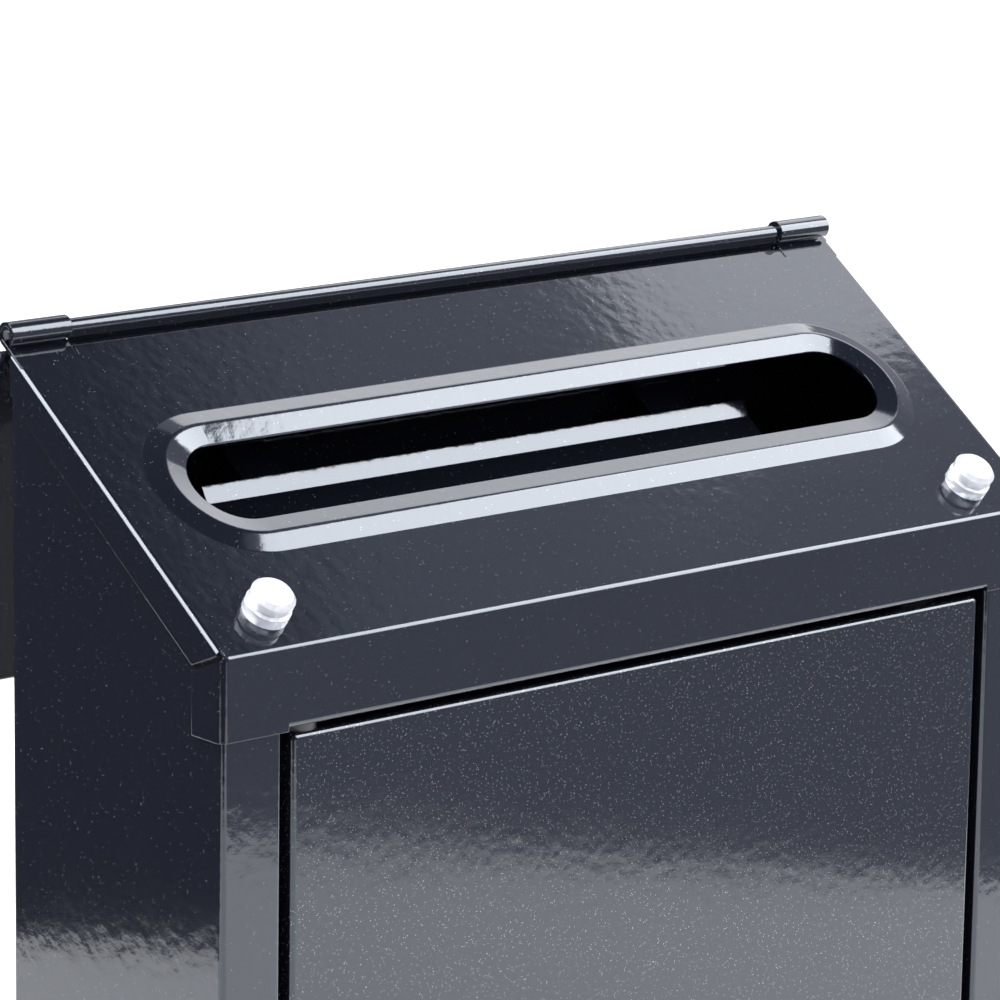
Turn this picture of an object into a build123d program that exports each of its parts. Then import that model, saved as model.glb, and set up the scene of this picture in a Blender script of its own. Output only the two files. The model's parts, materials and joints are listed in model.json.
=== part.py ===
from build123d import *
import os
from math import atan, cos, degrees, radians, sin, tan

os.makedirs("parts", exist_ok=True)

# Driving dimensions, in millimetres. X runs along the slot, -Y is the door side and the origin
# is the middle of the case's underside.
WIDTH = 320.0          # over the cover's side flanges
DEPTH = 98.4           # over the visor and the cover's rear bend
FRONT_HEIGHT = 352.0   # underside to the roof's front edge
ROOF_ANGLE = 35.0      # slope of the roof, in degrees
SHEET = 1.2            # painted steel of the case, the cover and the door
SEAM = 0.3             # air between sheets that lie on each other
BEND = 1.6             # outer radius of the ordinary bends
RUNNING = 0.05         # radial clearance of pins, plugs and the hinge

# Places that follow from them.
HALF = WIDTH / 2
FRONT = -DEPTH / 2
REAR = DEPTH / 2
SLOPE = radians(ROOF_ANGLE)
ROOF_LENGTH = DEPTH / cos(SLOPE)
ALONG = Vector(0, cos(SLOPE), sin(SLOPE))     # up the roof, from front to rear
OUTWARD = Vector(0, -sin(SLOPE), cos(SLOPE))  # away from the roof
ROOF_EDGE = Vector(0, FRONT, FRONT_HEIGHT)    # where the roof and the visor would meet
REAR_HEIGHT = FRONT_HEIGHT + DEPTH * tan(SLOPE)

# Case: a folded sheet with a stile each side of the door.
CASE_HALF = HALF - SHEET - SEAM
CASE_FRONT = FRONT + SHEET + SEAM
CASE_REAR = REAR + 2.0  # the back stands behind the cover, and the open lid leans on its upper edge
STILE_EDGE = 137.8     # the door opening reaches this far each side of the middle
RETURN_DEPTH = 12.0    # flange of the stile that turns into the case
FLOOR_FLANGE = 12.0
SILL_TOP = 24.0        # top of the sill under the door
SILL_DEPTH = 12.0
DRAIN_X = 120.0
DRAIN_RADIUS = 2.5
MOUNT_X = 110.0
MOUNT_Z = (60.0, 340.0)
MOUNT_RADIUS = 3.5

# Cover: a roof with side flanges, a visor over the door, and a rear flange inside the back.
VISOR = 24.0           # depth of the visor over the stiles
VISOR_LIP = 23.2       # depth of the visor to its turned-in lip, between the stiles
LIP_HALF = 136.6
LIP_REACH = 4.2
COVER_BEND = 1.8
CORNER_BEND = 2.5      # the visor's bends round the corners
FLANGE = 11.2          # width of the side flanges, across the slope
REAR_FLANGE = 12.0
TAB_DEPTH = 13.5       # the visor's tabs wrap this far round the corners
CORNER_GAP = 1.6       # between a side flange's end and the tab under it
GAP_START = (2.6, 0.4) # upper end of the flange's front edge, from the roof's front edge

# Slot in the roof, with its raised rim.
SLOT_ALONG = 61.0      # centre of the slot, up the roof from the front edge
SLOT_RADIUS = 15.0
SLOT_STRAIGHT = 117.0  # half the straight stretch
RIDGE_RADIUS = 21.5
FOOT_RADIUS = 27.5
RIDGE_HEIGHT = 1.8
EDGE_HEIGHT = 0.2      # the slot's edge stands this far above the roof
RIM_BEND = 2.5
RIM_PATCH = 30.0

# Hinge of the lid: the lid's rear edge is rolled round a wire and turns in two knuckles of the cover.
KNUCKLE_RADIUS = 3.6
ROLL_RADIUS = KNUCKLE_RADIUS - SHEET - RUNNING
HINGE_REACH = 5.0      # the knuckles' tabs run on past the roof's rear edge
HINGE_LIFT = KNUCKLE_RADIUS - SHEET
HINGE = ROOF_EDGE + ALONG * (ROOF_LENGTH + HINGE_REACH) + OUTWARD * HINGE_LIFT
KNUCKLE_INNER = 138.8
KNUCKLE_OUTER = 159.4
KNUCKLE_TURN = 285.0   # degrees of roll, short of closing on the tab
KNUCKLE_RELIEF = 0.6
CORNER_NOTCH = 3.0

# Rubber bumpers that the closed lid lands on.
BUMPER_X = HALF - 23.3
BUMPER_ALONG = 13.5
BUMPER_HEIGHT = 8.0
BUMPER_RADIUS = 6.9
BUMPER_WAIST = 6.0
BUMPER_STEM = 2.5
BUMPER_BULB = 3.4
STEM_RELIEF = 5.0      # the stiles' flanges are notched this far round the stems

# Lid. It is drawn wide open, where it leans back behind the case.
LID_SHEET = 1.0
LID_LEAN = 22.0        # lean of the open lid off the vertical, in degrees
LID_GAP = 0.2          # between the closed lid and its bumpers
LID_SIDE_GAP = 1.5
LID_SIDE_LIP = 9.0
LID_FRONT_LIP = 14.0
LID_FRONT_GAP = 2.0    # the closed lid's front lip hangs this far ahead of the visor
LID_NOTCH = 4.4        # beside the knuckles the plate starts this far from the hinge's axis
LID_BEND = 1.8
LID_CORNER = 2.5
LID_HALF = HALF + LID_SIDE_GAP + LID_SHEET
ROLL_TURN = 270.0
WIRE_RADIUS = ROLL_RADIUS - LID_SHEET - RUNNING

# Door.
DOOR_HALF = 134.3
DOOR_BOTTOM = 27.0
DOOR_TOP = FRONT_HEIGHT - 25.6
DOOR_DEPTH = 12.0
DOOR_BACK = CASE_FRONT + DOOR_DEPTH
PIVOT_INSET = 6.5      # hinge axis from the door's left edge and from its face
PIVOT_X = -DOOR_HALF + PIVOT_INSET
PIVOT_Y = CASE_FRONT + PIVOT_INSET
PIN_RADIUS = 2.5
PIN_HEAD = 3.5
PIN_HEAD_HEIGHT = 2.0
PIN_REACH = 5.0        # the pins end this far inside the door's end flanges
BUSH_RADIUS = 4.0
BUSH_COLLAR = 5.5
BUSH_REACH = 4.0

# Rail behind the visor.
RAIL_BOTTOM = FRONT_HEIGHT - VISOR_LIP + SEAM
RAIL_FRONT = FRONT + LIP_REACH + 3 * SEAM
RAIL_DEPTH = 14.0
RAIL_HEIGHT = 15.0

# Stiffening channel down the middle of the door.
CHANNEL_SHEET = 1.0
CHANNEL_HALF = 12.0
CHANNEL_FOOT = 22.0
CHANNEL_HEIGHT = 8.0
CHANNEL_END = 20.0     # kept clear of the door's end flanges

# Lock.
LOCK_X = 112.3
LOCK_Z = 180.0
BARREL_RADIUS = 9.0
BARREL_LENGTH = 20.0   # behind the door's face
BEZEL_RADIUS = 12.0
BEZEL_DEPTH = 2.5
PLUG_RADIUS = 6.0
PLUG_HEAD = 7.5
PLUG_HEAD_DEPTH = 1.5
PLUG_SQUARE = 7.0
KEYWAY = (1.3, 7.0, 12.0)
CAM_REACH = 36.0
CAM_WIDTH = 14.0
CAM_SHEET = 1.5
NUT_RADIUS = 14.0
NUT_DEPTH = 4.0
SCREW_RADIUS = 2.0
SCREW_HEAD = 4.0
SCREW_HEAD_DEPTH = 2.4
STRIKE_SHEET = 1.5
STRIKE_HALF = 15.0

# Stop for the closing door.
STOP_X = (112.0, 130.0)
STOP_SHEET = 1.5
STOP_BOTTOM = DOOR_TOP - 12.0
PAD_BACK = RAIL_FRONT + RAIL_DEPTH - STOP_SHEET
PAD_GAP = 0.5

# Anti-theft baffle under the slot, parallel to the roof, with a lip along its upper edge.
BAFFLE_DROP = 26.0
BAFFLE_LOW = 40.0
BAFFLE_FOLD = 75.7
BAFFLE_HALF = 106.4
BAFFLE_CORNER = 5.0
BAFFLE_LIP = 5.8
BAFFLE_LIP_ANGLE = radians(25)
BRACKET_X = 80.0
BRACKET_HALF = 8.0
BRACKET_SHEET = 1.5
BRACKET_LOW = 50.0
BRACKET_LEG = 28.0


def roof_height(y):
    """Height of the roof's upper face at y."""
    return FRONT_HEIGHT + (y - FRONT) * tan(SLOPE)


def on_roof(x, along, outward=0.0):
    """A point given by its place on the roof and its height above it."""
    point = ROOF_EDGE + ALONG * along + OUTWARD * outward
    return Vector(x, point.Y, point.Z)


def sheet_section(plane, points, thickness, outer_bend=BEND):
    """Section of a folded sheet whose mid-line runs through the points."""
    with BuildSketch(plane) as section:
        with BuildLine():
            FilletPolyline(*points, radius=outer_bend - thickness / 2)
        trace(line_width=thickness)
    return section.sketch


def folded_block(plane, outline, half, bend, corner):
    """Solid across the case whose outline starts at a front lip's end, its bend and a rear edge.

    The lip's bend and the bends along both sides have one radius, the lip's two corners another.
    """
    lip, front, rear = outline[:3]
    lip_middle = ((lip[0] + front[0]) / 2, (lip[1] + front[1]) / 2)
    with BuildPart() as block:
        with BuildSketch(plane):
            with BuildLine():
                Polyline(*outline, close=True)
            make_face()
        extrude(amount=half, both=True)
        for side in (-half, half):
            middle = plane.from_local_coords((*lip_middle, side))
            fillet(block.edges().sort_by_distance(middle)[0], corner)
        middle = plane.from_local_coords((*front, 0))
        fillet(block.edges().sort_by_distance(middle)[0], bend)
    return block.part


def finish(part, label):
    """Names a finished piece and writes it."""
    part.label = label
    export_step(part, f"parts/{label}.step")


def at_depth(y):
    """Plane that faces -Y, at y."""
    return Plane.XZ.offset(-y)


# Working planes: the roof's face, and sections across it with X up the slope.
ROOF_PLANE = Plane(origin=ROOF_EDGE, x_dir=(1, 0, 0), z_dir=OUTWARD)
SLOPE_SECTION = Plane(origin=ROOF_EDGE, x_dir=ALONG, z_dir=(1, 0, 0))
SLOT_CENTRE = on_roof(0, SLOT_ALONG)
SLOT_SECTION = Plane(origin=SLOT_CENTRE, x_dir=ALONG, z_dir=(1, 0, 0))
UNDER_ROOF = Plane(origin=on_roof(0, 0, -SHEET - SEAM), x_dir=(1, 0, 0), z_dir=OUTWARD)

# ---------------------------------------------------------------- case shell
wall = CASE_HALF - SHEET / 2
stile = STILE_EDGE + SHEET / 2
front_middle = CASE_FRONT + SHEET / 2
rear_middle = CASE_REAR - SHEET / 2
shell_path = [
    (-stile, CASE_FRONT + RETURN_DEPTH),
    (-stile, front_middle),
    (-wall, front_middle),
    (-wall, rear_middle),
    (wall, rear_middle),
    (wall, front_middle),
    (stile, front_middle),
    (stile, CASE_FRONT + RETURN_DEPTH),
]
shell_section = sheet_section(Plane.XY, shell_path, SHEET)

with BuildPart() as case_shell:
    extrude(shell_section, amount=REAR_HEIGHT)
    split(bisect_by=UNDER_ROOF, keep=Keep.BOTTOM)
    with BuildSketch(at_depth(CASE_REAR)):
        for height in MOUNT_Z:
            with Locations((-MOUNT_X, height), (MOUNT_X, height)):
                Circle(MOUNT_RADIUS)
    extrude(amount=DEPTH / 4, mode=Mode.SUBTRACT)
    with Locations(on_roof(-BUMPER_X, BUMPER_ALONG), on_roof(BUMPER_X, BUMPER_ALONG)):
        Box(2 * STEM_RELIEF, 2 * STEM_RELIEF, 5 * STEM_RELIEF, mode=Mode.SUBTRACT)
finish(case_shell.part, "case_shell")

# ---------------------------------------------------------------- floor pan with the door's sill
pan_half = CASE_HALF - SHEET - SEAM / 3
pan_rear = CASE_REAR - SHEET - SEAM / 3
pan_front = CASE_FRONT + RETURN_DEPTH + SEAM
pan_depth = pan_rear - pan_front
sill_half = STILE_EDGE - SEAM
sill_path = [
    (pan_front + BEND, SHEET / 2),
    (front_middle, SHEET / 2),
    (front_middle, SILL_TOP - SHEET / 2),
    (CASE_FRONT + SILL_DEPTH, SILL_TOP - SHEET / 2),
]
sill_section = sheet_section(Plane.YZ, sill_path, SHEET)
from_rear_floor = (Align.CENTER, Align.MAX, Align.MIN)

with BuildPart() as floor_pan:
    with Locations((0, pan_rear, 0)):
        Box(2 * pan_half, pan_depth, FLOOR_FLANGE, align=from_rear_floor)
    fillet(floor_pan.edges().filter_by(Axis.Z).group_by(Axis.Y)[-1], BEND)
    underside = floor_pan.faces().sort_by(Axis.Z)[0]
    fillet(underside.edges().sort_by(Axis.Y)[1:], BEND)
    with Locations((0, pan_rear - SHEET, SHEET)):
        Box(2 * (pan_half - SHEET), pan_depth, FLOOR_FLANGE, align=from_rear_floor, mode=Mode.SUBTRACT)
    extrude(sill_section, amount=sill_half, both=True)
    with BuildSketch(Plane.XY):
        with Locations((0, (pan_front + pan_rear) / 2)):
            with GridLocations(2 * DRAIN_X, pan_depth / 2, 2, 2):
                Circle(DRAIN_RADIUS)
    extrude(amount=SHEET, mode=Mode.SUBTRACT)
    with BuildSketch(Plane.XY.offset(SILL_TOP)):
        with Locations((PIVOT_X, PIVOT_Y)):
            Circle(PIN_RADIUS)
    extrude(amount=-SHEET, mode=Mode.SUBTRACT)
finish(floor_pan.part, "floor_pan")

# ---------------------------------------------------------------- rail behind the visor
rail_path = [
    (RAIL_FRONT, RAIL_BOTTOM + SHEET / 2),
    (RAIL_FRONT + RAIL_DEPTH - SHEET / 2, RAIL_BOTTOM + SHEET / 2),
    (RAIL_FRONT + RAIL_DEPTH - SHEET / 2, RAIL_BOTTOM + RAIL_HEIGHT),
]
rail_section = sheet_section(Plane.YZ, rail_path, SHEET)

with BuildPart() as top_rail:
    extrude(rail_section, amount=sill_half, both=True)
    with BuildSketch(Plane.XY.offset(RAIL_BOTTOM)):
        with Locations((PIVOT_X, PIVOT_Y)):
            Circle(PIN_RADIUS)
    extrude(amount=SHEET, mode=Mode.SUBTRACT)
finish(top_rail.part, "top_rail")

# ---------------------------------------------------------------- cover with slot, visor and knuckles


def cover_outline(inset, extra_depth=0.0):
    """Outline of the cover's block in Y and Z, inset from its visor, its roof and its rear."""
    drop = inset / cos(SLOPE)
    bottom = FRONT_HEIGHT - VISOR - extra_depth
    return [
        (FRONT + inset, bottom),
        (FRONT + inset, roof_height(FRONT + inset) - drop),
        (REAR - inset, roof_height(REAR - inset) - drop),
        (REAR - inset, bottom),
    ]


def cover_side_waste():
    """What is cut from each side of the cover: all but the flange along the roof and the tab."""
    margin = 3.0
    flange_drop = FLANGE / cos(SLOPE)
    tab_end = FRONT + TAB_DEPTH
    flange_front = (FRONT + GAP_START[0], FRONT_HEIGHT + GAP_START[1])
    flange_corner = (tab_end, roof_height(tab_end) - flange_drop)
    gap_slope = atan((flange_front[1] - flange_corner[1]) / (flange_corner[0] - flange_front[0]))
    gap = CORNER_GAP / cos(gap_slope)
    with BuildSketch() as waste:
        with BuildLine():
            Polyline(
                (flange_front[0], FRONT_HEIGHT + margin),
                flange_front,
                flange_corner,
                (REAR + margin, roof_height(REAR + margin) - flange_drop),
                (REAR + margin, FRONT_HEIGHT - VISOR - margin),
                (tab_end, FRONT_HEIGHT - VISOR - margin),
                (tab_end, flange_corner[1] - gap),
                (flange_front[0] - gap, flange_front[1] - gap + gap * tan(gap_slope)),
                (flange_front[0] - gap, FRONT_HEIGHT + margin),
                close=True,
            )
        make_face()
        flange_tip = waste.vertices().sort_by_distance((*flange_front, 0))[0]
        tab_tip = waste.vertices().sort_by_distance((tab_end, flange_corner[1] - gap, 0))[0]
        fillet([flange_tip, tab_tip], CORNER_GAP)
    return waste.sketch_local


cover_block = folded_block(Plane.YZ, cover_outline(0), HALF, COVER_BEND, CORNER_BEND)
cover_cavity = folded_block(
    Plane.YZ, cover_outline(SHEET, SHEET), HALF - SHEET, COVER_BEND - SHEET, CORNER_BEND - SHEET
)
side_waste = cover_side_waste()
rim_path = [
    (-SLOT_RADIUS, EDGE_HEIGHT - SHEET / 2),
    (-RIDGE_RADIUS, RIDGE_HEIGHT - SHEET / 2),
    (-FOOT_RADIUS, -SHEET / 2),
    (-RIM_PATCH, -SHEET / 2),
]
lip_path = [
    (FRONT + SHEET / 2, FRONT_HEIGHT - VISOR_LIP + 3 * BEND),
    (FRONT + SHEET / 2, FRONT_HEIGHT - VISOR_LIP + SHEET / 2),
    (FRONT + LIP_REACH, FRONT_HEIGHT - VISOR_LIP + SHEET / 2),
]

with BuildPart() as top_cover:
    add(cover_block)
    add(cover_cavity, mode=Mode.SUBTRACT)
    # Sides: a flange along the roof, and a tab of the visor round each corner.
    for start in (HALF - COVER_BEND, -HALF - COVER_BEND):
        with BuildSketch(Plane.YZ.offset(start)):
            add(side_waste)
        extrude(amount=2 * COVER_BEND, mode=Mode.SUBTRACT)
    # Rear: a short flange between the knuckles.
    with Locations((0, REAR + SHEET, REAR_HEIGHT - REAR_FLANGE)):
        Box(2 * WIDTH, 3 * SHEET, WIDTH, align=(Align.CENTER, Align.MAX, Align.MAX), mode=Mode.SUBTRACT)
    notch_inner = KNUCKLE_INNER - KNUCKLE_RELIEF
    notch_width = HALF - SHEET - notch_inner
    for side in (-1, 1):
        with Locations((side * (notch_inner + notch_width / 2), REAR + SHEET, REAR_HEIGHT)):
            Box(
                notch_width,
                CORNER_NOTCH + SHEET,
                4 * REAR_FLANGE,
                align=(Align.CENTER, Align.MAX, Align.CENTER),
                mode=Mode.SUBTRACT,
            )
    # Visor: its lower edge is turned in between the stiles.
    with Locations((0, FRONT - SHEET, FRONT_HEIGHT - VISOR_LIP + BEND)):
        Box(2 * LIP_HALF, 3 * SHEET, VISOR, align=(Align.CENTER, Align.MIN, Align.MAX), mode=Mode.SUBTRACT)
    extrude(sheet_section(Plane.YZ, lip_path, SHEET), amount=LIP_HALF, both=True)
    # Slot with its raised rim.
    with BuildSketch(Plane(origin=SLOT_CENTRE, x_dir=(1, 0, 0), z_dir=OUTWARD)):
        SlotCenterToCenter(2 * SLOT_STRAIGHT, 2 * RIM_PATCH)
    extrude(amount=2 * SHEET, both=True, mode=Mode.SUBTRACT)
    rim_section = sheet_section(SLOT_SECTION, rim_path, SHEET, RIM_BEND)
    extrude(rim_section, amount=SLOT_STRAIGHT, both=True)
    extrude(mirror(rim_section, about=Plane(origin=SLOT_CENTRE, z_dir=ALONG), mode=Mode.PRIVATE),
            amount=SLOT_STRAIGHT, both=True)
    for side in (-1, 1):
        end = Plane(origin=on_roof(side * SLOT_STRAIGHT, SLOT_ALONG), x_dir=ALONG, z_dir=(1, 0, 0))
        end_section = sheet_section(end, rim_path, SHEET, RIM_BEND)
        revolve(end_section, axis=Axis(end.origin, OUTWARD * side), revolution_arc=180)
    # Knuckles: tabs that carry the roof on and roll up and over the hinge's axis.
    for start in (KNUCKLE_INNER, -KNUCKLE_OUTER):
        with BuildSketch(SLOPE_SECTION.offset(start)):
            with BuildLine():
                Line((ROOF_LENGTH - 2 * CORNER_NOTCH, -SHEET / 2), (ROOF_LENGTH + HINGE_REACH, -SHEET / 2))
                CenterArc((ROOF_LENGTH + HINGE_REACH, HINGE_LIFT), HINGE_LIFT + SHEET / 2, -90, KNUCKLE_TURN)
            trace(line_width=SHEET)
        extrude(amount=KNUCKLE_OUTER - KNUCKLE_INNER)
    # Holes of the bumpers' stems.
    with BuildSketch(ROOF_PLANE):
        with Locations((-BUMPER_X, BUMPER_ALONG), (BUMPER_X, BUMPER_ALONG)):
            Circle(BUMPER_STEM)
    extrude(amount=-2 * SHEET, mode=Mode.SUBTRACT)
finish(top_cover.part, "top_cover")

# ---------------------------------------------------------------- lid
inner_offset = ROLL_RADIUS - LID_SHEET
landing = ROOF_LENGTH + HINGE_REACH - BUMPER_ALONG - BUMPER_RADIUS
LID_RISE = atan((BUMPER_HEIGHT + LID_GAP - HINGE_LIFT - inner_offset) / landing)
CLOSED_SLOPE = SLOPE - LID_RISE               # slope of the closed lid
lid_reach = HINGE.Y - FRONT + LID_FRONT_GAP + LID_SHEET
LID_LENGTH = (lid_reach - ROLL_RADIUS * sin(CLOSED_SLOPE)) / cos(CLOSED_SLOPE)
LIP_TURN = radians(90) - CLOSED_SLOPE         # the front lip is upright when the lid is closed
lean = radians(LID_LEAN)
LID_SECTION = Plane(origin=HINGE, x_dir=(0, sin(lean), -cos(lean)), z_dir=(-1, 0, 0))
lid_drop = (LID_FRONT_LIP * cos(LIP_TURN), -LID_FRONT_LIP * sin(LIP_TURN))


def lid_outline(inset, reach):
    """Outline of the lid's block: out along the hinge's section, then away from it."""
    corner = (LID_LENGTH - inset * tan(LIP_TURN / 2), ROLL_RADIUS - inset)
    side = ROLL_RADIUS - reach * LID_SIDE_LIP
    return [
        (corner[0] + reach * lid_drop[0], corner[1] + reach * lid_drop[1]),
        corner,
        (LID_NOTCH - inset, ROLL_RADIUS - inset),
        (LID_NOTCH - inset, side),
        (corner[0] - LID_SIDE_LIP / 2, side),
    ]


lid_block = folded_block(LID_SECTION, lid_outline(0, 1), LID_HALF, LID_BEND, LID_CORNER)
lid_cavity = folded_block(
    LID_SECTION,
    lid_outline(LID_SHEET, 3),
    LID_HALF - LID_SHEET,
    LID_BEND - LID_SHEET,
    LID_CORNER - LID_SHEET,
)
roll_middle = ROLL_RADIUS - LID_SHEET / 2

with BuildPart() as lid_panel:
    add(lid_block)
    add(lid_cavity, mode=Mode.SUBTRACT)
    # Strip between the knuckles that carries the plate on to the roll.
    with BuildSketch(LID_SECTION):
        with Locations((0, inner_offset)):
            Rectangle(LID_NOTCH + LID_SHEET, LID_SHEET, align=(Align.MIN, Align.MIN))
    extrude(amount=KNUCKLE_INNER - KNUCKLE_RELIEF, both=True)
    # Roll round the hinge wire.
    with BuildSketch(LID_SECTION):
        with BuildLine():
            CenterArc((0, 0), roll_middle, 90, ROLL_TURN)
        trace(line_width=LID_SHEET)
    extrude(amount=KNUCKLE_OUTER - SEAM, both=True)
finish(lid_panel.part, "lid_panel")

with BuildPart() as hinge_wire:
    with BuildSketch(Plane(origin=HINGE, x_dir=(0, 1, 0), z_dir=(1, 0, 0))):
        Circle(WIRE_RADIUS)
    extrude(amount=KNUCKLE_OUTER, both=True)
finish(hinge_wire.part, "hinge_wire")

# ---------------------------------------------------------------- rubber bumpers on the roof
with BuildPart() as lid_bumpers:
    for side in (-1, 1):
        centre = on_roof(side * BUMPER_X, BUMPER_ALONG)
        with BuildSketch(Plane(origin=centre, x_dir=(1, 0, 0), z_dir=(0, -cos(SLOPE), -sin(SLOPE)))):
            with BuildLine():
                Polyline(
                    (0, -SHEET - 6),
                    (1.6, -SHEET - 6),
                    (BUMPER_BULB, -SHEET - 2.5),
                    (BUMPER_BULB, -SHEET - RUNNING),
                    (BUMPER_STEM, -SHEET - RUNNING),
                    (BUMPER_STEM, 0),
                    (BUMPER_RADIUS, 0),
                    (BUMPER_RADIUS, 3.2),
                    (BUMPER_WAIST, 3.7),
                    (BUMPER_WAIST, 4.3),
                    (BUMPER_RADIUS - 0.3, 4.8),
                    (BUMPER_RADIUS - 0.3, BUMPER_HEIGHT - 1.2),
                    (BUMPER_RADIUS - 1.5, BUMPER_HEIGHT),
                    (0, BUMPER_HEIGHT),
                    close=True,
                )
            make_face()
        revolve(axis=Axis(centre, OUTWARD))
finish(lid_bumpers.part, "lid_bumpers")

# ---------------------------------------------------------------- baffle and its brackets
baffle_middle = -BAFFLE_DROP - SHEET / 2
baffle_path = [
    (BAFFLE_LOW, baffle_middle),
    (BAFFLE_FOLD, baffle_middle),
    (BAFFLE_FOLD + BAFFLE_LIP * cos(BAFFLE_LIP_ANGLE), baffle_middle + BAFFLE_LIP * sin(BAFFLE_LIP_ANGLE)),
]

with BuildPart() as anti_theft_baffle:
    extrude(sheet_section(SLOPE_SECTION, baffle_path, SHEET), amount=BAFFLE_HALF, both=True)
    low_edges = anti_theft_baffle.edges().filter_by(lambda edge: edge.length < 2 * SHEET)
    low_corners = low_edges.filter_by(Axis((0, 0, 0), OUTWARD)).sort_by(Axis((0, 0, 0), ALONG))[:2]
    fillet(low_corners, BAFFLE_CORNER)
finish(anti_theft_baffle.part, "anti_theft_baffle")

bracket_rise = -BAFFLE_DROP - SHEET - BRACKET_SHEET / 2
bracket_back = CASE_REAR - SHEET - BRACKET_SHEET / 2
bracket_low = on_roof(0, BRACKET_LOW, bracket_rise)
bracket_top = bracket_low.Z + (bracket_back - bracket_low.Y) * tan(SLOPE)
bracket_path = [
    (bracket_low.Y, bracket_low.Z),
    (bracket_back, bracket_top),
    (bracket_back, bracket_top - BRACKET_LEG),
]

with BuildPart() as baffle_brackets:
    for start in (BRACKET_X - BRACKET_HALF, -BRACKET_X - BRACKET_HALF):
        section = sheet_section(Plane.YZ.offset(start), bracket_path, BRACKET_SHEET, 2 * BEND)
        extrude(section, amount=2 * BRACKET_HALF)
finish(baffle_brackets.part, "baffle_brackets")

# ---------------------------------------------------------------- door
door_height = DOOR_TOP - DOOR_BOTTOM
door_middle = (DOOR_TOP + DOOR_BOTTOM) / 2
from_front = (Align.CENTER, Align.MIN, Align.CENTER)

with BuildPart() as door_panel:
    with Locations((0, CASE_FRONT, door_middle)):
        Box(2 * DOOR_HALF, DOOR_DEPTH, door_height, align=from_front)
    fillet(door_panel.edges().filter_by(Axis.Y), BEND)
    fillet(door_panel.faces().sort_by(Axis.Y)[0].edges(), BEND)
    with BuildSketch(at_depth(DOOR_BACK)):
        with Locations((0, door_middle)):
            RectangleRounded(2 * (DOOR_HALF - SHEET), door_height - 2 * SHEET, BEND - SHEET)
    extrude(amount=DOOR_DEPTH - SHEET, mode=Mode.SUBTRACT)
    with BuildSketch(at_depth(DOOR_BACK)):
        with Locations((LOCK_X, LOCK_Z)):
            Circle(BARREL_RADIUS)
    extrude(amount=DOOR_DEPTH, mode=Mode.SUBTRACT)
    for flange_end in (DOOR_BOTTOM, DOOR_TOP - SHEET):
        with BuildSketch(Plane.XY.offset(flange_end)):
            with Locations((PIVOT_X, PIVOT_Y)):
                Circle(BUSH_RADIUS)
        extrude(amount=SHEET, mode=Mode.SUBTRACT)
finish(door_panel.part, "door_panel")

channel_foot = CASE_FRONT + SHEET + CHANNEL_SHEET / 2
channel_crown = CASE_FRONT + SHEET + CHANNEL_HEIGHT - CHANNEL_SHEET / 2
channel_path = [
    (-CHANNEL_FOOT, channel_foot),
    (-CHANNEL_HALF, channel_foot),
    (-CHANNEL_HALF, channel_crown),
    (CHANNEL_HALF, channel_crown),
    (CHANNEL_HALF, channel_foot),
    (CHANNEL_FOOT, channel_foot),
]

with BuildPart() as door_stiffener:
    section = sheet_section(Plane.XY.offset(DOOR_BOTTOM + CHANNEL_END), channel_path, CHANNEL_SHEET)
    extrude(section, amount=door_height - 2 * CHANNEL_END)
finish(door_stiffener.part, "door_stiffener")

# ---------------------------------------------------------------- door pivots


def pivot_pin(seat, tip):
    """Headed pin on the door's axis, its head against the sheet at seat, its shank up to tip."""
    away = 1 if seat > tip else -1
    with BuildPart() as pin:
        with BuildSketch(Plane.XY.offset(seat)):
            with Locations((PIVOT_X, PIVOT_Y)):
                Circle(PIN_HEAD)
        extrude(amount=away * PIN_HEAD_HEIGHT)
        with BuildSketch(Plane.XY.offset(seat)):
            with Locations((PIVOT_X, PIVOT_Y)):
                Circle(PIN_RADIUS)
        extrude(amount=tip - seat)
        rims = pin.edges().filter_by(GeomType.CIRCLE)
        chamfer(rims.sort_by_distance((PIVOT_X, PIVOT_Y, tip))[0], PIN_RADIUS / 5)
    return pin.part


upper_pivot_pin = pivot_pin(RAIL_BOTTOM + SHEET, DOOR_TOP - SHEET - PIN_REACH)
finish(upper_pivot_pin, "upper_pivot_pin")
lower_pivot_pin = pivot_pin(SILL_TOP - SHEET, DOOR_BOTTOM + SHEET + PIN_REACH)
finish(lower_pivot_pin, "lower_pivot_pin")

lower_collar = SILL_TOP + SEAM
upper_collar = FRONT_HEIGHT - VISOR_LIP - SEAM
with BuildPart() as pivot_bushes:
    for edge, collar, inward in ((DOOR_BOTTOM, lower_collar, 1), (DOOR_TOP, upper_collar, -1)):
        with BuildSketch(Plane.XY.offset(collar)):
            with Locations((PIVOT_X, PIVOT_Y)):
                Circle(BUSH_COLLAR)
        extrude(amount=edge - collar)
        with BuildSketch(Plane.XY.offset(edge)):
            with Locations((PIVOT_X, PIVOT_Y)):
                Circle(BUSH_RADIUS)
        extrude(amount=inward * BUSH_REACH)
        with BuildSketch(Plane.XY.offset(collar)):
            with Locations((PIVOT_X, PIVOT_Y)):
                Circle(PIN_RADIUS + RUNNING)
        extrude(amount=inward * (BUSH_REACH + abs(edge - collar)), mode=Mode.SUBTRACT)
finish(pivot_bushes.part, "pivot_bushes")

# ---------------------------------------------------------------- lock
barrel_end = CASE_FRONT + BARREL_LENGTH
bezel_face = CASE_FRONT - BEZEL_DEPTH
cam_front = barrel_end + SEAM
cam_back = cam_front + CAM_SHEET

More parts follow.
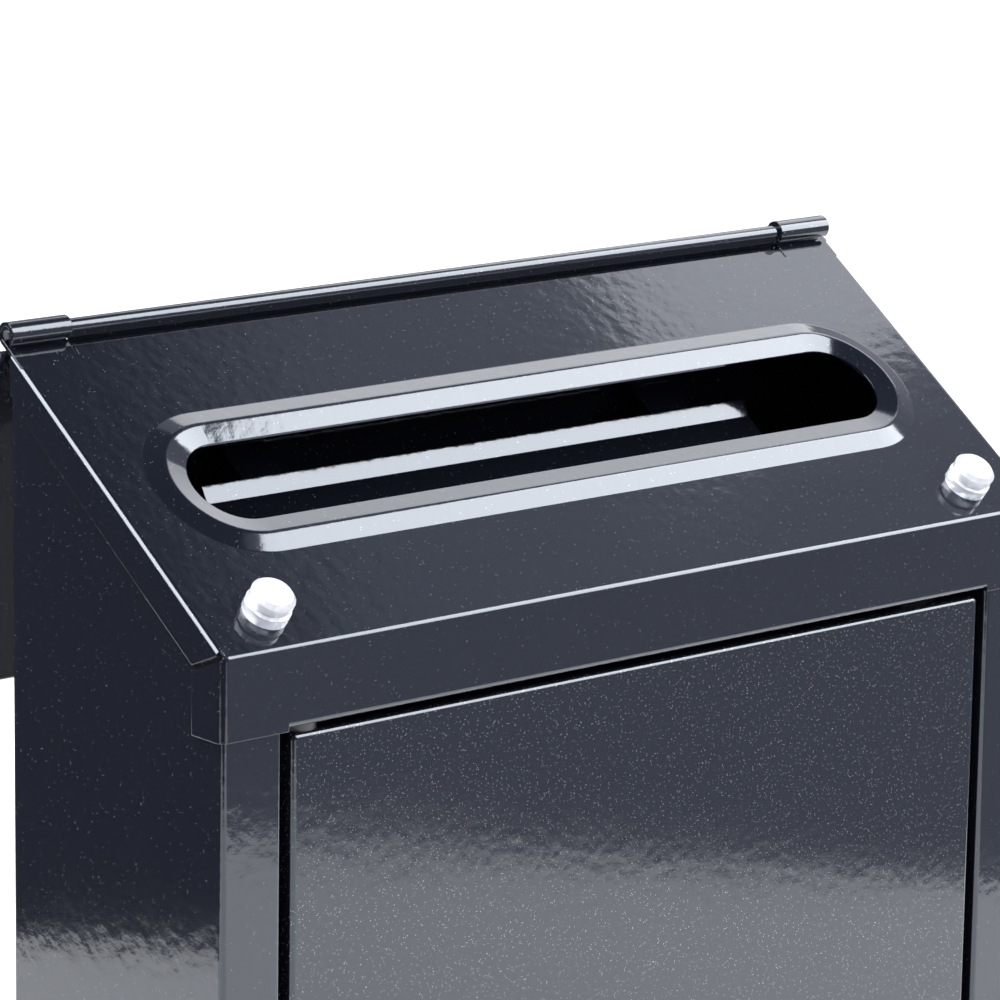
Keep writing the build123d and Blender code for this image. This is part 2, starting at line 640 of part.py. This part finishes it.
with BuildPart() as lock_housing:
    with BuildSketch(at_depth(barrel_end)):
        with Locations((LOCK_X, LOCK_Z)):
            Circle(BARREL_RADIUS)
    extrude(amount=BARREL_LENGTH)
    with BuildSketch(at_depth(CASE_FRONT)):
        with Locations((LOCK_X, LOCK_Z)):
            Circle(BEZEL_RADIUS)
    extrude(amount=BEZEL_DEPTH)
    fillet(lock_housing.faces().sort_by(Axis.Y)[0].edges(), BEZEL_DEPTH / 2)
    with BuildSketch(at_depth(barrel_end)):
        with Locations((LOCK_X, LOCK_Z)):
            Circle(PLUG_RADIUS + RUNNING)
    extrude(amount=BARREL_LENGTH + BEZEL_DEPTH, mode=Mode.SUBTRACT)
    with BuildSketch(at_depth(bezel_face)):
        with Locations((LOCK_X, LOCK_Z)):
            Circle(PLUG_HEAD + RUNNING)
    extrude(amount=-PLUG_HEAD_DEPTH - RUNNING, mode=Mode.SUBTRACT)
finish(lock_housing.part, "lock_housing")

with BuildPart() as lock_nut:
    with BuildSketch(at_depth(CASE_FRONT + SHEET)):
        with Locations((LOCK_X, LOCK_Z)):
            RegularPolygon(NUT_RADIUS, 6)
            Circle(BARREL_RADIUS, mode=Mode.SUBTRACT)
    extrude(amount=-NUT_DEPTH)
finish(lock_nut.part, "lock_nut")

with BuildPart() as lock_plug:
    with BuildSketch(at_depth(bezel_face)):
        with Locations((LOCK_X, LOCK_Z)):
            Circle(PLUG_HEAD)
    extrude(amount=-PLUG_HEAD_DEPTH)
    with BuildSketch(at_depth(bezel_face)):
        with Locations((LOCK_X, LOCK_Z)):
            Circle(PLUG_RADIUS)
    extrude(amount=bezel_face - cam_front)
    with BuildSketch(at_depth(cam_front)):
        with Locations((LOCK_X, LOCK_Z)):
            Rectangle(PLUG_SQUARE, PLUG_SQUARE)
    extrude(amount=-CAM_SHEET)
    with BuildSketch(at_depth(bezel_face)):
        with Locations((LOCK_X, LOCK_Z)):
            Rectangle(KEYWAY[0], KEYWAY[1])
    extrude(amount=-KEYWAY[2], mode=Mode.SUBTRACT)
    with BuildSketch(at_depth(cam_back)):
        with Locations((LOCK_X, LOCK_Z)):
            Circle(SCREW_RADIUS)
    extrude(amount=BARREL_LENGTH / 3, mode=Mode.SUBTRACT)
finish(lock_plug.part, "lock_plug")

with BuildPart() as lock_cam:
    with BuildSketch(at_depth(cam_front)):
        with Locations((LOCK_X, LOCK_Z - (CAM_REACH - CAM_WIDTH / 2) / 2)):
            SlotCenterToCenter(CAM_REACH - CAM_WIDTH / 2, CAM_WIDTH, rotation=90)
        with Locations((LOCK_X, LOCK_Z)):
            Rectangle(PLUG_SQUARE, PLUG_SQUARE, mode=Mode.SUBTRACT)
    extrude(amount=-CAM_SHEET)
finish(lock_cam.part, "lock_cam")

with BuildPart() as cam_screw:
    with BuildSketch(at_depth(cam_back)):
        with Locations((LOCK_X, LOCK_Z)):
            Circle(SCREW_HEAD + SCREW_RADIUS / 2)
    extrude(amount=-SCREW_HEAD_DEPTH)
    fillet(cam_screw.faces().sort_by(Axis.Y)[-1].edges(), SCREW_HEAD_DEPTH / 3)
    with BuildSketch(at_depth(cam_back)):
        with Locations((LOCK_X, LOCK_Z)):
            Circle(SCREW_RADIUS)
    extrude(amount=BARREL_LENGTH / 4)
finish(cam_screw.part, "cam_screw")

with BuildPart() as strike_plate:
    with Locations((STILE_EDGE + SHEET, CASE_FRONT + BEND, LOCK_Z)):
        Box(
            STRIKE_SHEET,
            cam_front - 2 * SEAM - CASE_FRONT - BEND,
            2 * STRIKE_HALF,
            align=(Align.MIN, Align.MIN, Align.CENTER),
        )
    fillet(strike_plate.edges().filter_by(Axis.X).group_by(Axis.Y)[-1], 2 * BEND)
finish(strike_plate.part, "strike_plate")

# ---------------------------------------------------------------- stop of the closing door
stop_path = [
    (PAD_BACK - 3 * BEND, RAIL_BOTTOM - STOP_SHEET / 2),
    (PAD_BACK + STOP_SHEET / 2, RAIL_BOTTOM - STOP_SHEET / 2),
    (PAD_BACK + STOP_SHEET / 2, STOP_BOTTOM),
]
stop_width = STOP_X[1] - STOP_X[0]

with BuildPart() as door_stop_bracket:
    extrude(sheet_section(Plane.YZ.offset(STOP_X[0]), stop_path, STOP_SHEET), amount=stop_width)
finish(door_stop_bracket.part, "door_stop_bracket")

with BuildPart() as door_stop_pad:
    with Locations(((STOP_X[0] + STOP_X[1]) / 2, PAD_BACK, STOP_BOTTOM)):
        Box(
            stop_width - 2 * STOP_SHEET,
            PAD_BACK - DOOR_BACK - PAD_GAP,
            DOOR_TOP - STOP_BOTTOM - STOP_SHEET,
            align=(Align.CENTER, Align.MAX, Align.MIN),
        )
    fillet(door_stop_pad.faces().sort_by(Axis.Y)[0].edges(), SHEET / 2)
finish(door_stop_pad.part, "door_stop_pad")

print(f"hinge axis at y {HINGE.Y:.3f}, z {HINGE.Z:.3f}")
print(f"lid travel {180 + ROOF_ANGLE - degrees(LID_RISE) + 90 - LID_LEAN:.2f} degrees")
print(f"lock axis at y {barrel_end:.2f}, door pivot at x {PIVOT_X:.2f}, y {PIVOT_Y:.2f}")
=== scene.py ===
import json
import math

import bpy
from mathutils import Matrix, Vector

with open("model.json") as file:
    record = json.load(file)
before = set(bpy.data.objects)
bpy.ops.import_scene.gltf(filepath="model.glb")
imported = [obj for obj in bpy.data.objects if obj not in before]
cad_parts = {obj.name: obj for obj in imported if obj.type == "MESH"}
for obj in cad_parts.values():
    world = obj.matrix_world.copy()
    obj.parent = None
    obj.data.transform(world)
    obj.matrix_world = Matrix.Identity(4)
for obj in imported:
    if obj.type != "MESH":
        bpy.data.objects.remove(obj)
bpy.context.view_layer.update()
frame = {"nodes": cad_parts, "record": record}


# ---------------------------------------------------------------- materials


class Finish:
    """A node material with one Principled shader, and short ways to add its nodes."""

    def __init__(self, name, **values):
        self.material = bpy.data.materials.new(name)
        self.material.use_nodes = True
        self.tree = self.material.node_tree
        self.shader = self.tree.nodes["Principled BSDF"]
        for socket, value in values.items():
            self.shader.inputs[socket.replace("_", " ")].default_value = value
        self.place = self.node("ShaderNodeTexCoord").outputs["Object"]

    def node(self, kind, **settings):
        made = self.tree.nodes.new(kind)
        for key, value in settings.items():
            setattr(made, key, value)
        return made

    def link(self, source, target):
        self.tree.links.new(source, target)

    def noise(self, scale, detail=2.0, roughness=0.5):
        made = self.node("ShaderNodeTexNoise")
        made.inputs["Scale"].default_value = scale
        made.inputs["Detail"].default_value = detail
        made.inputs["Roughness"].default_value = roughness
        self.link(self.place, made.inputs["Vector"])
        return made.outputs["Fac"]

    def cells(self, scale):
        made = self.node("ShaderNodeTexVoronoi")
        made.inputs["Scale"].default_value = scale
        self.link(self.place, made.inputs["Vector"])
        return made.outputs["Distance"]

    def spread(self, source, low, high, to_low=0.0, to_high=1.0):
        made = self.node("ShaderNodeMapRange")
        for name, value in (("From Min", low), ("From Max", high), ("To Min", to_low), ("To Max", to_high)):
            made.inputs[name].default_value = value
        self.link(source, made.inputs["Value"])
        return made.outputs["Result"]

    def math(self, operation, first, second):
        made = self.node("ShaderNodeMath", operation=operation)
        self.link(first, made.inputs[0])
        if isinstance(second, (int, float)):
            made.inputs[1].default_value = second
        else:
            self.link(second, made.inputs[1])
        return made.outputs["Value"]

    def mix(self, factor, first, second):
        made = self.node("ShaderNodeMix", data_type="RGBA")
        self.link(factor, made.inputs["Factor"])
        for socket, value in ((made.inputs[6], first), (made.inputs[7], second)):
            if isinstance(value, tuple):
                socket.default_value = value
            else:
                self.link(value, socket)
        return made.outputs[2]

    def bump(self, height, distance, below=None):
        made = self.node("ShaderNodeBump")
        made.inputs["Distance"].default_value = distance
        self.link(height, made.inputs["Height"])
        if below is not None:
            self.link(below, made.inputs["Normal"])
        return made.outputs["Normal"]


SHEET_EDGE_RADIUS = 0.0004  # the coat rounds the sheets' edges this far, in metres


def powder_coat(name, colour, fleck, roughness, fleck_limit, peel):
    """Gloss powder coat: orange peel, fine grain, metallic flecks that catch the light, faint smudges.

    A lower fleck_limit gives more flecks, and peel scales the depth of the orange peel.
    """
    coat = Finish(name, Roughness=roughness, IOR=1.55, Specular_Tint=(0.84, 0.9, 1.0, 1))
    shader = coat.shader
    wide = coat.noise(150.0, 1.0)
    peel_height = coat.noise(300.0, 2.0, 0.55)
    grain = coat.noise(2200.0, 1.0)
    rounded = coat.node("ShaderNodeBevel", samples=4)
    rounded.inputs["Radius"].default_value = SHEET_EDGE_RADIUS
    normal = coat.bump(wide, 0.00002 * peel, below=rounded.outputs["Normal"])
    normal = coat.bump(peel_height, 0.000012 * peel, below=normal)
    normal = coat.bump(grain, 0.0000025, below=normal)
    coat.link(normal, shader.inputs["Normal"])
    flecks = coat.spread(coat.cells(1500.0), 0.0, 0.22, 1.0, 0.0)
    chosen = coat.spread(coat.noise(900.0, 0.0), fleck_limit, fleck_limit + 0.06)
    sparkle = coat.math("MULTIPLY", flecks, chosen)
    coat.link(coat.mix(sparkle, colour, fleck), shader.inputs["Base Color"])
    coat.link(coat.math("MULTIPLY", sparkle, 0.85), shader.inputs["Metallic"])
    haze = coat.spread(coat.noise(14.0, 4.0), 0.35, 0.7, roughness, roughness + 0.03)
    coat.link(haze, shader.inputs["Roughness"])
    return coat.material


def plated(name, colour, roughness, grain):
    """Bright plated metal with fine tool marks and a slightly clouded colour."""
    plate = Finish(name, Metallic=1.0, Roughness=roughness)
    cloud = plate.noise(300.0, 3.0)
    dull = tuple(channel * 0.82 for channel in colour[:3]) + (1.0,)
    plate.link(plate.mix(cloud, dull, colour), plate.shader.inputs["Base Color"])
    plate.link(plate.spread(cloud, 0.3, 0.7, roughness, roughness + 0.08), plate.shader.inputs["Roughness"])
    plate.link(plate.bump(plate.noise(2500.0, 2.0), grain), plate.shader.inputs["Normal"])
    return plate.material


def clear_rubber():
    """Clear moulded rubber, a little blue and cloudy."""
    rubber = Finish("clear_rubber", Roughness=0.12, IOR=1.45, Transmission_Weight=0.7)
    cloud = rubber.noise(260.0, 2.0)
    colour = rubber.mix(cloud, (0.84, 0.88, 1.0, 1), (0.93, 0.95, 1.0, 1))
    rubber.link(colour, rubber.shader.inputs["Base Color"])
    rubber.link(rubber.bump(rubber.noise(700.0, 2.0), 0.00005), rubber.shader.inputs["Normal"])
    return rubber.material


def moulded(name, colour, roughness):
    """Dull moulded rubber or nylon with a fine grain."""
    mould = Finish(name, Roughness=roughness)
    cloud = mould.noise(500.0, 3.0)
    darker = tuple(channel * 0.8 for channel in colour[:3]) + (1.0,)
    mould.link(mould.mix(cloud, darker, colour), mould.shader.inputs["Base Color"])
    mould.link(mould.bump(mould.noise(1800.0, 2.0), 0.00002), mould.shader.inputs["Normal"])
    return mould.material


COAT_BLACK = (0.003, 0.0038, 0.0065, 1)
FINISHES = {
    "black_coat": powder_coat("black_coat", COAT_BLACK, (0.4, 0.41, 0.44, 1), 0.06, 0.66, 1.5),
    "speckled_coat": powder_coat("speckled_coat", COAT_BLACK, (0.55, 0.55, 0.58, 1), 0.07, 0.49, 1.3),
    "zinc_plate": plated("zinc_plate", (0.62, 0.63, 0.65, 1), 0.28, 0.000004),
    "chrome_plate": plated("chrome_plate", (0.8, 0.81, 0.82, 1), 0.07, 0.0000015),
    "clear_rubber": clear_rubber(),
    "black_rubber": moulded("black_rubber", (0.02, 0.02, 0.021, 1), 0.65),
    "nylon": moulded("nylon", (0.03, 0.03, 0.032, 1), 0.4),
}

for part in frame["record"]["subparts"]:
    node = frame["nodes"][part["node"]]
    node.data.materials.clear()
    node.data.materials.append(FINISHES[part["material_slot"]])


# ---------------------------------------------------------------- studio

# Camera, from the object's own frame: where it stands, and how it is turned.
CAMERA_PLACE = Vector((-0.9793, -1.1163, 0.6965))
CAMERA_YAW = math.radians(40.69)     # to the right of +Y
CAMERA_PITCH = math.radians(12.55)   # below the horizon
CAMERA_ROLL = math.radians(0.9)
CAMERA_LENS = 184.7

ahead = Vector((
    math.sin(CAMERA_YAW) * math.cos(CAMERA_PITCH),
    math.cos(CAMERA_YAW) * math.cos(CAMERA_PITCH),
    -math.sin(CAMERA_PITCH),
))
level_right = Vector((math.cos(CAMERA_YAW), -math.sin(CAMERA_YAW), 0))
level_up = level_right.cross(ahead)
right = level_right * math.cos(CAMERA_ROLL) + level_up * math.sin(CAMERA_ROLL)
up = right.cross(ahead)
camera_data = bpy.data.cameras.new("camera")
camera_data.lens = CAMERA_LENS
camera_data.sensor_width = 36.0
camera = bpy.data.objects.new("camera", camera_data)
bpy.context.collection.objects.link(camera)
turn = Matrix((right, up, -ahead)).transposed()
camera.matrix_world = Matrix.Translation(CAMERA_PLACE) @ turn.to_4x4()
bpy.context.scene.camera = camera


def plane(name, half_x, half_y, height, turn, material):
    """Level sheet round the origin, turned about the vertical."""
    mesh = bpy.data.meshes.new(name)
    signs = ((-1, -1), (1, -1), (1, 1), (-1, 1))
    mesh.from_pydata([(x * half_x, y * half_y, height) for x, y in signs], [], [(0, 1, 2, 3)])
    mesh.materials.append(material)
    made = bpy.data.objects.new(name, mesh)
    made.rotation_euler.z = turn
    bpy.context.collection.objects.link(made)
    return made


def softbox(name, azimuth, elevation, distance, width, height, brightness):
    """Rectangular studio light that faces the object; azimuth is from +X towards +Y, in degrees."""
    aim = Vector((0, 0, 0.4))
    turned = math.radians(azimuth)
    raised = math.radians(elevation)
    away = Vector((math.cos(turned) * math.cos(raised), math.sin(turned) * math.cos(raised), math.sin(raised)))
    data = bpy.data.lights.new(name, "AREA")
    data.shape = "RECTANGLE"
    data.size = width
    data.size_y = height
    data.energy = brightness * math.pi * width * height
    lamp = bpy.data.objects.new(name, data)
    lamp.location = aim + away * distance
    lamp.rotation_euler = away.to_track_quat("Z", "Y").to_euler()
    lamp.visible_camera = False
    bpy.context.collection.objects.link(lamp)


# The object stands on a white table a little under two metres wide, on a white floor.
paper = Finish("paper", Roughness=0.8)
white = paper.mix(paper.noise(3.0), (0.86, 0.86, 0.86, 1), (0.9, 0.9, 0.9, 1))
paper.link(white, paper.shader.inputs["Base Color"])
floor = plane("floor", 12.0, 12.0, -0.0005, 0, paper.material)
floor.visible_glossy = False
table = plane("table", 0.92, 1.2, -0.0003, -CAMERA_YAW, paper.material)

softbox("front_box", -36, 31, 2.0, 1.4, 1.4, 13)
softbox("rear_box", 26.2, 37.5, 2.0, 1.12, 0.8, 2.8)
softbox("left_box", 174, 52, 2.0, 1.2, 1.6, 18)

# The room is white, and dim in reflections: dimmest overhead and to the left.
ROOM_LIGHT = 1.15
LEFT_TO_RIGHT = (-0.3, 0.5, 0.1, 0.75)      # over this range of X the reflected room goes from dark to light
LOW_TO_HIGH = (0.785, 0.815, 1.0, 0.15)     # and over this range of Z it falls off
REFLECTED_TINT = (0.9, 0.94, 1.1, 1)

world = bpy.data.worlds.new("studio")
bpy.context.scene.world = world
world.use_nodes = True
sky = world.node_tree


def sky_node(kind, **settings):
    made = sky.nodes.new(kind)
    for key, value in settings.items():
        setattr(made, key, value)
    return made


def sky_range(source, low, high, to_low, to_high):
    made = sky_node("ShaderNodeMapRange", interpolation_type="SMOOTHSTEP")
    for name, value in (("From Min", low), ("From Max", high), ("To Min", to_low), ("To Max", to_high)):
        made.inputs[name].default_value = value
    sky.links.new(source, made.inputs["Value"])
    return made.outputs["Result"]


look = sky_node("ShaderNodeSeparateXYZ")
sky.links.new(sky_node("ShaderNodeTexCoord").outputs["Generated"], look.inputs["Vector"])
room = sky_node("ShaderNodeMath", operation="MULTIPLY")
sky.links.new(sky_range(look.outputs["X"], *LEFT_TO_RIGHT), room.inputs[0])
sky.links.new(sky_range(look.outputs["Z"], *LOW_TO_HIGH), room.inputs[1])
seen = sky_node("ShaderNodeMix", data_type="FLOAT")
tint = sky_node("ShaderNodeMix", data_type="RGBA")
for mixed in (seen, tint):
    sky.links.new(sky_node("ShaderNodeLightPath").outputs["Is Glossy Ray"], mixed.inputs["Factor"])
seen.inputs[2].default_value = ROOM_LIGHT
sky.links.new(room.outputs["Value"], seen.inputs[3])
tint.inputs[6].default_value = (1, 1, 1, 1)
tint.inputs[7].default_value = REFLECTED_TINT
sky.links.new(seen.outputs[0], sky.nodes["Background"].inputs["Strength"])
sky.links.new(tint.outputs[2], sky.nodes["Background"].inputs["Color"])
bpy.context.scene.view_settings.view_transform = "Standard"
